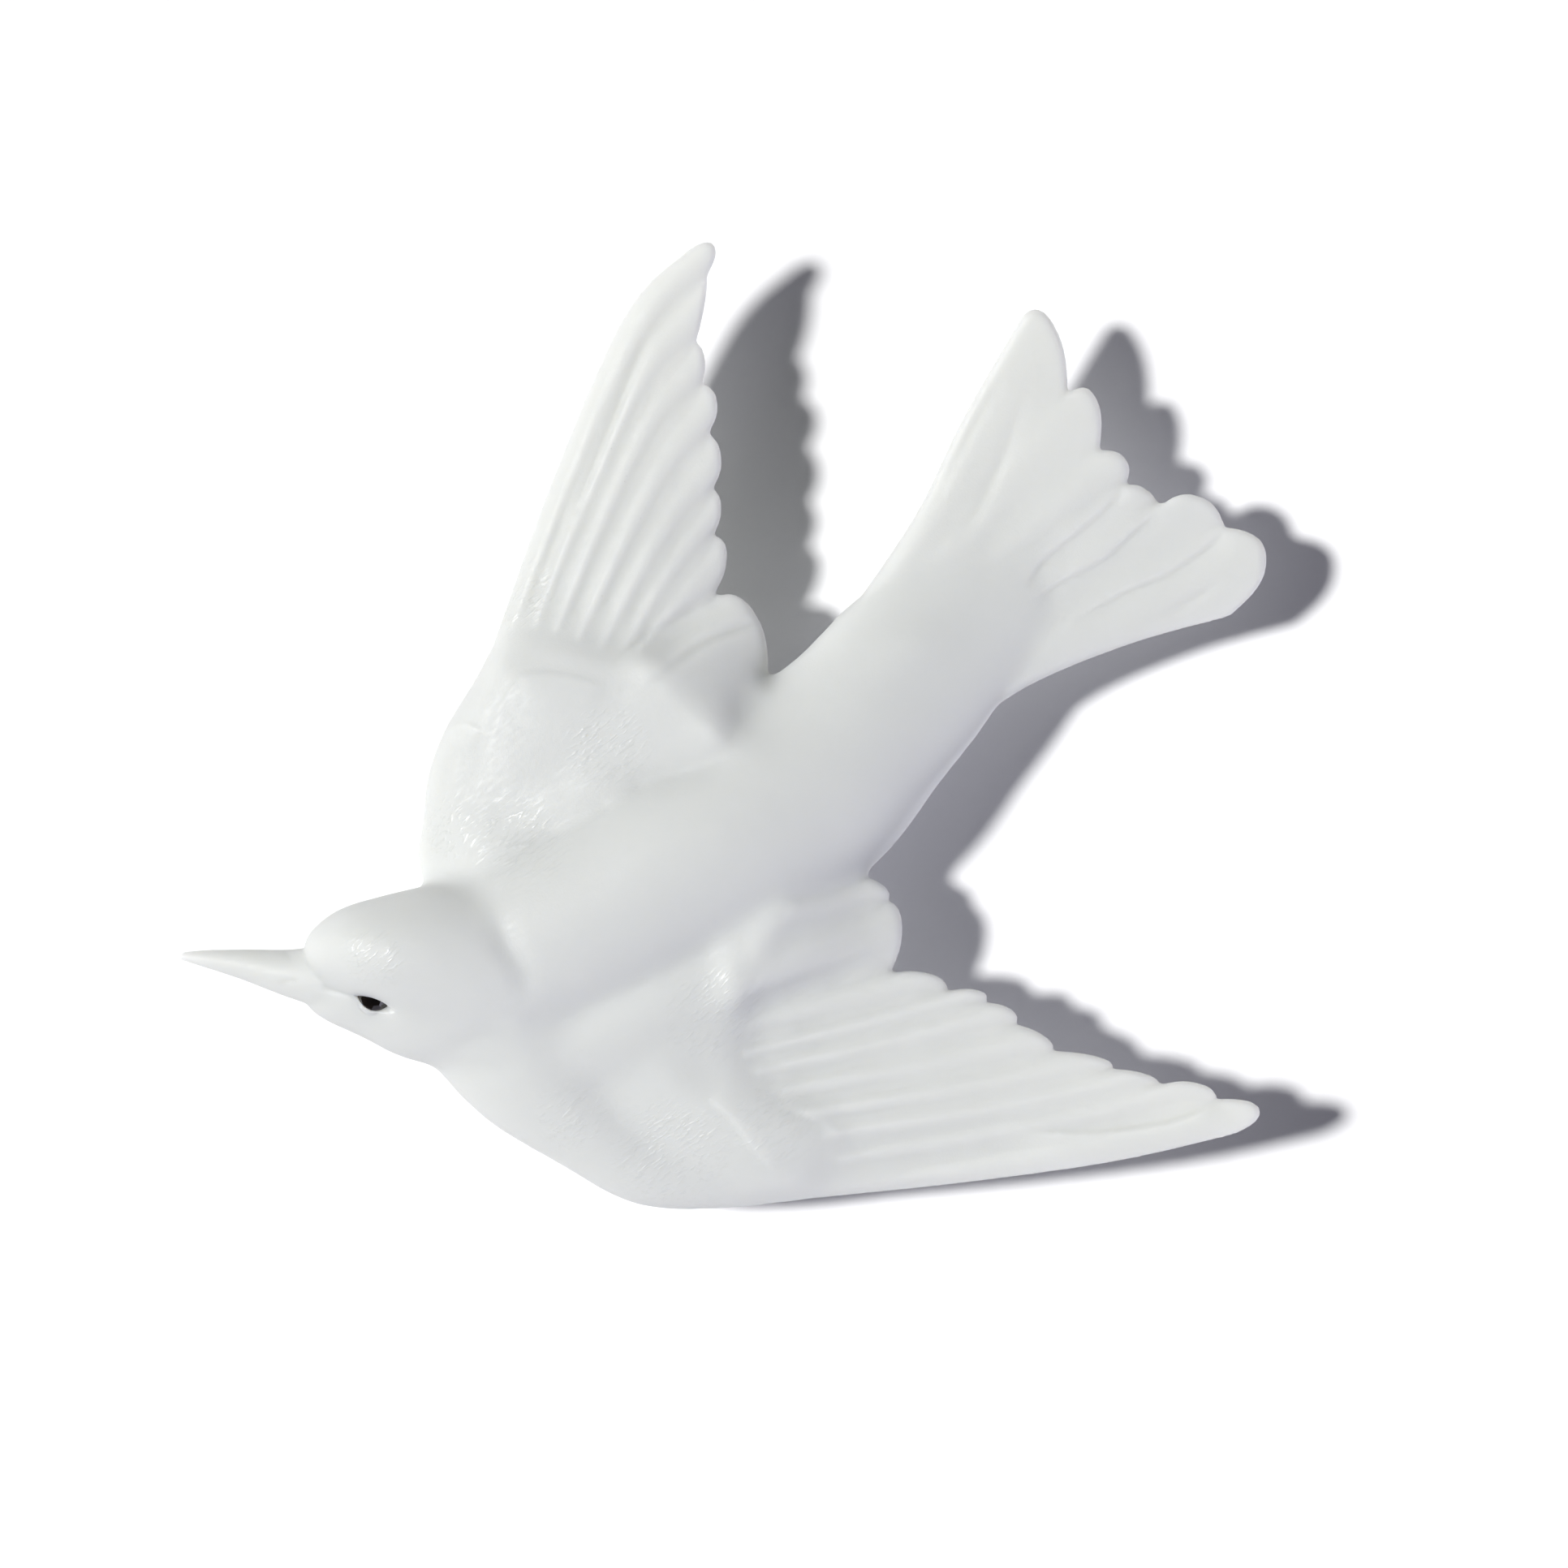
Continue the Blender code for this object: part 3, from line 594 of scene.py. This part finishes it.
def copy_of(made):
    """A copy with a mesh of its own."""
    twin = made.copy()
    twin.data = made.data.copy()
    bpy.context.scene.collection.objects.link(twin)
    return twin


def cast_as_one(name, parts, grain, softening):
    """Joins the parts and lays one skin over them."""
    bpy.ops.object.select_all(action="DESELECT")
    for part in parts:
        part.select_set(True)
    bpy.context.view_layer.objects.active = parts[0]
    bpy.ops.object.join()
    made = bpy.context.object
    made.name = name
    bpy.ops.object.modifier_add(type="REMESH")
    skin = made.modifiers[-1]
    skin.mode, skin.voxel_size = "VOXEL", grain
    bpy.ops.object.modifier_apply(modifier=skin.name)
    bpy.ops.object.modifier_add(type="SMOOTH")
    soften = made.modifiers[-1]
    soften.factor, soften.iterations = 0.5, softening
    bpy.ops.object.modifier_apply(modifier=soften.name)
    return made


trunk = cast_as_one("trunk", [*forms, *soft_wings, copy_of(tail_sheet)], TRUNK_GRAIN, TRUNK_SOFTENING)
bird_parts = [trunk, beak, *crisp_wings, tail_sheet]
swallow = cast_as_one("swallow_casting", bird_parts, CARVING_GRAIN, CARVING_SOFTENING)
print("points of the cast skin:", len(swallow.data.vertices))

# %% [markdown]
# ## Carving
# A modeller finishes the casting with a few tools: a rounded one for creases, a flat one that leaves a step
# where one feather lies on another, and a thumb for soft hollows. Here a tool moves the points of the upper
# skin up or down, by their distance on the plan from the line that the tool follows.

# %% The carving tools
LINE_STEPS = 80  # a line is followed in this many steps


def distance_from(line, plan):
    """Each plan point's distance from the curve through `line`, which side it is on, and how far along."""
    curve = spaced(line, LINE_STEPS)[:, :2]
    heading = np.gradient(curve, axis=0)
    heading /= np.linalg.norm(heading, axis=1)[:, None]
    offset = plan[:, None, :2] - curve[None]
    apart = np.linalg.norm(offset, axis=2)
    nearest = apart.argmin(axis=1)
    rows = np.arange(len(plan))
    off, head = offset[rows, nearest], heading[nearest]
    side = np.sign(head[:, 0] * off[:, 1] - head[:, 1] * off[:, 0])
    return apart[rows, nearest], side, nearest / (len(curve) - 1)


def near(plan, line, reach):
    """The points within reach of a line's box."""
    line = np.asarray(line)[:, :2]
    low, high = line.min(axis=0) - reach, line.max(axis=0) + reach
    return np.flatnonzero(((plan[:, :2] > low) & (plan[:, :2] < high)).all(axis=1))


def crease(plan, rise, line, width, depth):
    """A rounded groove, in millimetres, that fades at both ends."""
    at = near(plan, line, 3 * width)
    apart, _, share = distance_from(line, plan[at])
    ends = smoothstep(0.0, 0.4, share) * smoothstep(1.0, 0.6, share)
    rise[at] -= depth * np.exp(-((apart / width) ** 2)) * ends


def step(plan, rise, line, height, width, fade):
    """A raised edge on the right of the line, as it runs, that fades out behind; a height below 0 sinks it."""
    at = near(plan, line, 3 * fade)
    apart, side, share = distance_from(line, plan[at])
    ends = smoothstep(0.0, 0.2, share) * smoothstep(1.0, 0.8, share)
    signed = apart * side
    up = smoothstep(-width, width, signed) * np.exp(-((np.maximum(signed, 0) / fade) ** 2))
    rise[at] += height * up * ends


def thumb(plan, rise, x, y, half_long, half_wide, turn, height):
    """A soft swelling, or a hollow where the height is below nothing."""
    dx, dy = plan[:, 0] - x, plan[:, 1] - y
    turn = math.radians(turn)
    long_way = (dx * math.cos(turn) + dy * math.sin(turn)) / half_long
    wide_way = (dy * math.cos(turn) - dx * math.sin(turn)) / half_wide
    rise += height * np.exp(-(long_way**2) - wide_way**2)


print("tools: crease, step, thumb")

# %% The lines that they follow, in millimetres on the plan
# A crease has a line, a width and a depth. A step has a line, a height, a width and how far it fades out. A
# soft place has its middle, its half length and half width, its turn in degrees and its height.
CREASES = [
    # right wing, the broad inner feather
    ([(79.0, 85.7), (84.0, 81.3), (88.0, 78.7), (92.6, 77.1), (94.2, 77.9)], 0.7, 0.4),
    ([(88.4, 73.8), (86.0, 75.0), (83.3, 76.3), (78.3, 79.3), (74.5, 83.5)], 0.6, 0.22),
    # right wing, beside the leading feather
    ([(80.7, 39.3), (76.5, 50.0), (72.5, 60.0), (70.0, 66.7)], 0.6, 0.25),
    # root of the beak and brow
    ([(34.6, 117.2), (35.5, 117.5), (36.4, 118.2)], 0.35, 0.25),
    ([(34.0, 121.3), (35.8, 120.8), (37.4, 120.9)], 0.35, 0.15),
    ([(45.0, 123.2), (43.0, 122.3), (41.0, 121.7), (39.6, 121.5)], 0.45, 0.3),
    # neck and nape
    ([(51.0, 130.0), (56.0, 128.6), (60.0, 127.2), (64.6, 126.4)], 1.3, 0.3),
    ([(54.0, 131.2), (58.0, 131.4), (62.0, 131.4), (65.0, 131.0)], 1.4, 0.16),
    ([(60.6, 111.4), (62.4, 116.0), (64.6, 120.0), (64.0, 123.6)], 1.6, 0.45),
    # outer tail feathers
    ([(124.1, 45.2), (118.0, 56.0), (113.5, 65.0)], 0.8, 0.22),
    ([(127.4, 46.0), (121.6, 60.8), (117.1, 67.2)], 0.8, 0.18),
    ([(151.0, 71.3), (147.0, 73.8), (142.9, 75.8)], 0.6, 0.2),
]
STEPS = [
    # right wrist, and the edge of the small feathers
    ([(54.4, 90.8), (55.8, 89.3), (57.6, 89.1), (60.0, 90.2)], 0.28, 0.3, 3.0),
    ([(63.6, 83.4), (66.6, 83.0), (70.7, 83.4), (75.0, 84.6)], 0.14, 0.5, 3.0),
    # left wing, the edge of the small feathers
    ([(103.6, 140.4), (101.4, 138.6), (98.6, 137.0), (95.6, 136.4)], 0.16, 0.5, 2.5),
    ([(95.4, 144.6), (92.4, 141.2), (90.0, 137.8), (87.0, 135.2)], 0.2, 0.5, 2.5),
    # left wing, the leading feather
    ([(125.3, 139.3), (133.0, 139.6), (141.0, 138.8), (146.6, 137.4), (150.0, 135.3)], 0.35, 0.35, 2.5),
    # tail, each feather under the one beside it
    ([(126.1, 72.6), (128.6, 68.9), (132.7, 65.6), (135.9, 62.8), (138.5, 60.0)], -0.35, 0.35, 2.0),
    ([(127.0, 74.2), (130.6, 71.7), (135.9, 68.9), (140.0, 65.2), (142.9, 62.6)], -0.3, 0.35, 2.0),
    ([(131.8, 76.6), (139.2, 72.6), (144.1, 70.5), (148.2, 67.7), (151.1, 64.9)], -0.3, 0.35, 2.0),
]
THUMBS = [
    # rump, right shoulder blade and left elbow
    (112.0, 79.6, 5.5, 3.0, -20.0, 0.35),
    (84.0, 95.4, 5.0, 2.0, -12.0, -0.4),
    (86.6, 131.8, 3.6, 3.0, 30.0, -0.3),
    # left wing, the roots of the inner feathers
    (100.0, 115.4, 6.0, 3.6, -35.0, 0.6),
    # right wrist
    (58.2, 93.8, 3.6, 1.3, 107.0, -0.22),
    # right wing, the roots of the feathers
    (89.6, 89.6, 4.2, 3.0, 50.0, 0.8),
    (71.0, 80.8, 8.0, 2.0, 8.0, 0.3),
    (80.6, 81.2, 4.0, 2.4, 30.0, 0.35),
    # left wing, the same
    (90.4, 121.5, 5.0, 2.0, 80.0, 0.35),
    (101.6, 140.4, 4.0, 2.2, 60.0, 0.25),
]
print("carving lines:", len(CREASES), "creases,", len(STEPS), "steps,", len(THUMBS), "soft places")

# %% Carve the upper skin
SIDEWAYS, UPWARDS = 0.05, 0.45  # a normal's height where the carving begins, and where it is full


def facing_up(made):
    """How much each point of a mesh faces up: 1 on top and 0 on the sides and underneath."""
    flat = np.empty(3 * len(made.data.vertices))
    made.data.vertex_normals.foreach_get("vector", flat)
    return smoothstep(SIDEWAYS, UPWARDS, flat[2::3])


places = points_of(swallow)
plan = plan_of(places)
rise = np.zeros(len(plan))
for line, width, depth in CREASES:
    crease(plan, rise, line, width, depth)
for line, height, width, fade in STEPS:
    step(plan, rise, line, height, width, fade)
for soft_place in THUMBS:
    thumb(plan, rise, *soft_place)
places[:, 2] += rise * facing_up(swallow) * UNIT
move_points(swallow, places)
print("carved from", round(rise.min(), 2), "to", round(rise.max(), 2), "mm")

# %% [markdown]
# ## Eyelids and belly
# The left eye shows from above only as a dark slit, because the brow hangs over it. The skin around each bead
# is first given a finer mesh. Inside an almond-shaped opening it is then pushed back behind the bead, and
# outside it is laid over the bead as a thin lid. The belly is planed flat where the bird stands.

# %% Shape the lids
EYE_RADIUS = 0.0022
LID = 0.00022
EYE_DEPTH = 0.0008  # how far the skin lies behind the bead in the opening
EYE_REGION = 0.0045
EYE_SPLITS = 2
EYES = {
    "eye_left": {
        "out": (0.0, 0.60, 0.80), "ahead": (-0.966, -0.258, 0.0), "open": (2.5, 0.85), "shift": -0.55,
    },
    "eye_right": {
        "out": (0.0, -0.95, -0.05), "ahead": (-1.0, 0.0, 0.0), "open": (2.3, 1.1), "shift": 0.0,
    },
}


def fine_mesh_near(made, middle, reach, rounds):
    """Subdivides the faces near a place."""
    for _ in range(rounds):
        bpy.ops.object.select_all(action="DESELECT")
        made.select_set(True)
        bpy.context.view_layer.objects.active = made
        faces = made.data.polygons
        flat = np.empty(3 * len(faces))
        faces.foreach_get("center", flat)
        picked = np.linalg.norm(flat.reshape(-1, 3) - middle, axis=1) < reach
        made.data.vertices.foreach_set("select", np.zeros(len(made.data.vertices), bool))
        made.data.edges.foreach_set("select", np.zeros(len(made.data.edges), bool))
        faces.foreach_set("select", picked)
        bpy.ops.object.mode_set(mode="EDIT")
        bpy.ops.mesh.select_mode(type="FACE")
        bpy.ops.mesh.subdivide(number_cuts=1, smoothness=0.0)
        bpy.ops.object.mode_set(mode="OBJECT")


def direction(x, y, z):
    """A direction on the plan, in the bird's own frame."""
    way = on_plan((BELLY_ON_PLAN[0] + x, BELLY_ON_PLAN[1] + y, z))
    return way / np.linalg.norm(way)


def shape_lids(made, middle, out, ahead, open_size, shift):
    """Opens the skin over a bead and lays it round the opening as lids."""
    out, ahead = direction(*out), direction(*ahead)
    ahead = ahead - out * (ahead @ out)
    ahead /= np.linalg.norm(ahead)
    down = np.cross(out, ahead)
    if down[2] > 0:
        down = -down
    spot = points_of(made)
    offset = spot - middle
    a, b, c = offset @ ahead, offset @ down, offset @ out
    apart = np.sqrt(a**2 + b**2)
    near_eye = (c > -0.2 * EYE_RADIUS) & (apart < 2.6 * EYE_RADIUS)
    bead = np.sqrt(np.clip(EYE_RADIUS**2 - apart**2, 0, None))
    half_long, half_wide = np.array(open_size) * UNIT
    room = half_wide * np.clip(1 - (a / half_long) ** 2, 0.001, 1)
    inside = smoothstep(1.2, 0.8, np.abs(b - shift * UNIT) / room) * (np.abs(a) < half_long)
    cover = smoothstep(1.5 * EYE_RADIUS, 0.9 * EYE_RADIUS, apart)
    lid_height = np.maximum(c, (bead + LID) * cover + c * (1 - cover))
    new = lid_height * (1 - inside) + (bead - EYE_DEPTH) * inside
    moved = np.where(near_eye, new - c, 0.0)
    move_points(made, spot + moved[:, None] * out)


for name, lids in EYES.items():
    low, high = (np.array(corner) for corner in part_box(name))
    middle = (low + high) / 2
    fine_mesh_near(swallow, middle, EYE_REGION, EYE_SPLITS)
    shape_lids(swallow, middle, lids["out"], lids["ahead"], lids["open"], lids["shift"])
print("points with the lids:", len(swallow.data.vertices))

# %% Plane the belly
places = points_of(swallow)
below = places[:, 2] < 0
places[below, 2] = 0.0
move_points(swallow, places)
print("points on the flat:", int(below.sum()))

# %% Thin the mesh out where it is smooth
MOST_TRIANGLES = 190000


def triangles_of(made):
    """How many triangles a mesh has."""
    made.data.calc_loop_triangles()
    return len(made.data.loop_triangles)


bpy.ops.object.select_all(action="DESELECT")
swallow.select_set(True)
bpy.context.view_layer.objects.active = swallow
bpy.ops.object.modifier_add(type="DECIMATE")
thin = swallow.modifiers[-1]
thin.ratio = min(1.0, MOST_TRIANGLES / triangles_of(swallow))
bpy.ops.object.modifier_apply(modifier=thin.name)
bpy.ops.object.shade_smooth()
print("triangles:", triangles_of(swallow))

# %% [markdown]
# ## Bisque porcelain
# Unglazed porcelain is a dense white body with no glass on it. Light goes a little way into it and comes out
# near by, which fills the hollows, and its skin has a faint satin shine from polishing. On the crown, the
# shoulders and the small feathers it was brushed before it dried, and there fine strokes catch the light. The
# Principled shader's subsurface gives the depth. A noise that is drawn out one way makes the strokes, which
# are smoother and stand a little proud, and a finer one makes the grain.

# %% The porcelain
STROKE = 1 / 0.00042  # brush strokes are 0.4 mm wide, and five times as long
STROKE_TURNS = (0.6, 2.1)  # the two ways that they run, in radians
BRUSHED = [
    (46.5, 118.0, 5.0), (55.4, 102.0, 5.5), (64.2, 103.7, 7.5), (74.5, 91.9, 7.0), (88.3, 125.1, 8.0),
    (95.5, 138.5, 7.0), (83.0, 143.0, 10.0), (70.5, 137.8, 6.0), (63.0, 73.0, 7.0),
]  # where they show: places on the plan and how far round each, in millimetres
GRAIN = 1 / 0.0003  # the grain of the fired body
CLOUDING = 60.0  # the white is uneven over about 17 mm
MATT, SATIN, POLISHED = 0.64, 0.46, 0.27
RELIEF = 0.00008
porcelain, tree, shader = new_material("bisque porcelain")
place = add_node(tree, "ShaderNodeTexCoord").outputs["Object"]
cloud = add_node(tree, "ShaderNodeTexNoise", Vector=place, Scale=CLOUDING, Detail=3.0)
white = add_node(
    tree, "ShaderNodeMix", {"data_type": "RGBA"},
    _0=cloud.outputs["Fac"], _6=srgb("D2D4D2"), _7=srgb("DADCDA"),
)
tree.links.new(white.outputs[2], shader.inputs["Base Color"])
strokes = []
for turn in STROKE_TURNS:
    along = add_node(tree, "ShaderNodeMapping", Vector=place, Rotation=(0, 0, turn), Scale=(1.0, 0.2, 1.0))
    strokes.append(add_node(tree, "ShaderNodeTexNoise", Vector=along.outputs[0], Scale=STROKE, Detail=2.0))
way = add_node(tree, "ShaderNodeMapRange", Value=cloud.outputs["Fac"], From_Min=0.46, From_Max=0.54)
brushed = add_node(
    tree, "ShaderNodeMix", {"data_type": "FLOAT"},
    _0=way.outputs[0], _2=strokes[0].outputs["Fac"], _3=strokes[1].outputs["Fac"],
)
flat_place = add_node(tree, "ShaderNodeVectorMath", {"operation": "MULTIPLY"}, _0=place, _1=(1.0, 1.0, 0.0))
patches = None
for x, y, reach in BRUSHED:
    middle = on_plan((x, y, 0.0))
    away = add_node(
        tree, "ShaderNodeVectorMath", {"operation": "DISTANCE"}, _0=flat_place.outputs[0], _1=middle
    )
    away = away.outputs["Value"]
    patch = add_node(tree, "ShaderNodeMapRange", Value=away, From_Min=reach * UNIT, From_Max=0.0)
    if patches:
        both = (patches.outputs[0], patch.outputs[0])
        patch = add_node(tree, "ShaderNodeMath", {"operation": "MAXIMUM"}, _0=both[0], _1=both[1])
    patches = patch
stroke = add_node(tree, "ShaderNodeMapRange", Value=brushed.outputs[0], From_Min=0.50, From_Max=0.64)
patch = add_node(tree, "ShaderNodeMapRange", Value=patches.outputs[0], From_Min=0.1, From_Max=0.5)
glint = add_node(tree, "ShaderNodeMath", {"operation": "MULTIPLY"}, _0=patch.outputs[0], _1=stroke.outputs[0])
satin = add_node(tree, "ShaderNodeMapRange", Value=brushed.outputs[0], From_Min=0.3, From_Max=0.7)
satin.inputs["To Min"].default_value = MATT
satin.inputs["To Max"].default_value = SATIN
polish = add_node(
    tree, "ShaderNodeMix", {"data_type": "FLOAT"}, _0=glint.outputs[0], _2=satin.outputs[0], _3=POLISHED
)
tree.links.new(polish.outputs[0], shader.inputs["Roughness"])
grain = add_node(tree, "ShaderNodeTexNoise", Vector=place, Scale=GRAIN, Detail=2.0)
low_grain = add_node(tree, "ShaderNodeMath", {"operation": "MULTIPLY"}, _0=grain.outputs["Fac"], _1=0.35)
skin = add_node(tree, "ShaderNodeMath", {"operation": "ADD"}, _0=glint.outputs[0], _1=low_grain.outputs[0])
bump = add_node(tree, "ShaderNodeBump", Height=skin.outputs[0], Strength=0.5, Distance=RELIEF)
tree.links.new(bump.outputs[0], shader.inputs["Normal"])
shader.inputs["Subsurface Weight"].default_value = 1.0
shader.inputs["Subsurface Radius"].default_value = (1.0, 0.95, 0.85)
shader.inputs["Subsurface Scale"].default_value = 0.0035
shader.inputs["Specular IOR Level"].default_value = 0.45
swallow.data.materials.clear()
swallow.data.materials.append(porcelain)
print("porcelain nodes:", len(tree.nodes))

# %% [markdown]
# ## Glass eyes
# Each eye is a bead of almost black glass. Its shape in the solid model is right, so it stays and only gets a
# deep, glossy finish. Where the camera sees the bead edge-on its colour turns a little brown: a painted
# reflection, made patchy by the smoke noise.

# %% The eyes
SMOKE = 500.0  # the glass is uneven over about 2 mm
glass, tree, shader = new_material("black glass")
place = add_node(tree, "ShaderNodeTexCoord")
smoke = add_node(tree, "ShaderNodeTexNoise", Vector=place.outputs["Object"], Scale=SMOKE, Detail=2.0)
# Painted reflection: the colour turns brown where the bead is seen at a slant to the camera, and `depth` is how
# much of it is mixed in.
slant_to_camera = add_node(tree, "ShaderNodeLayerWeight", Blend=0.35)
depth = add_node(
    tree, "ShaderNodeMath", {"operation": "MULTIPLY"}, _0=slant_to_camera.outputs["Facing"], _1=smoke.outputs["Fac"]
)
glass_with_painted_reflection = add_node(
    tree, "ShaderNodeMix", {"data_type": "RGBA"}, _0=depth.outputs[0], _6=srgb("0B0909"), _7=srgb("4A3E35")
)
tree.links.new(glass_with_painted_reflection.outputs[2], shader.inputs["Base Color"])
scratches = add_node(tree, "ShaderNodeMapRange", Value=smoke.outputs["Fac"], To_Min=0.03, To_Max=0.09)
tree.links.new(scratches.outputs[0], shader.inputs["Roughness"])
shader.inputs["Coat Weight"].default_value = 0.6
shader.inputs["Coat Roughness"].default_value = 0.03
for name in EYES:
    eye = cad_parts[name]
    for slot_index in range(len(eye.material_slots)):
        eye.material_slots[slot_index].material = glass
print("eyes:", list(EYES))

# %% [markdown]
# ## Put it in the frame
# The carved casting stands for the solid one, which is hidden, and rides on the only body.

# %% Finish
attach(swallow, "root")
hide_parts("swallow")
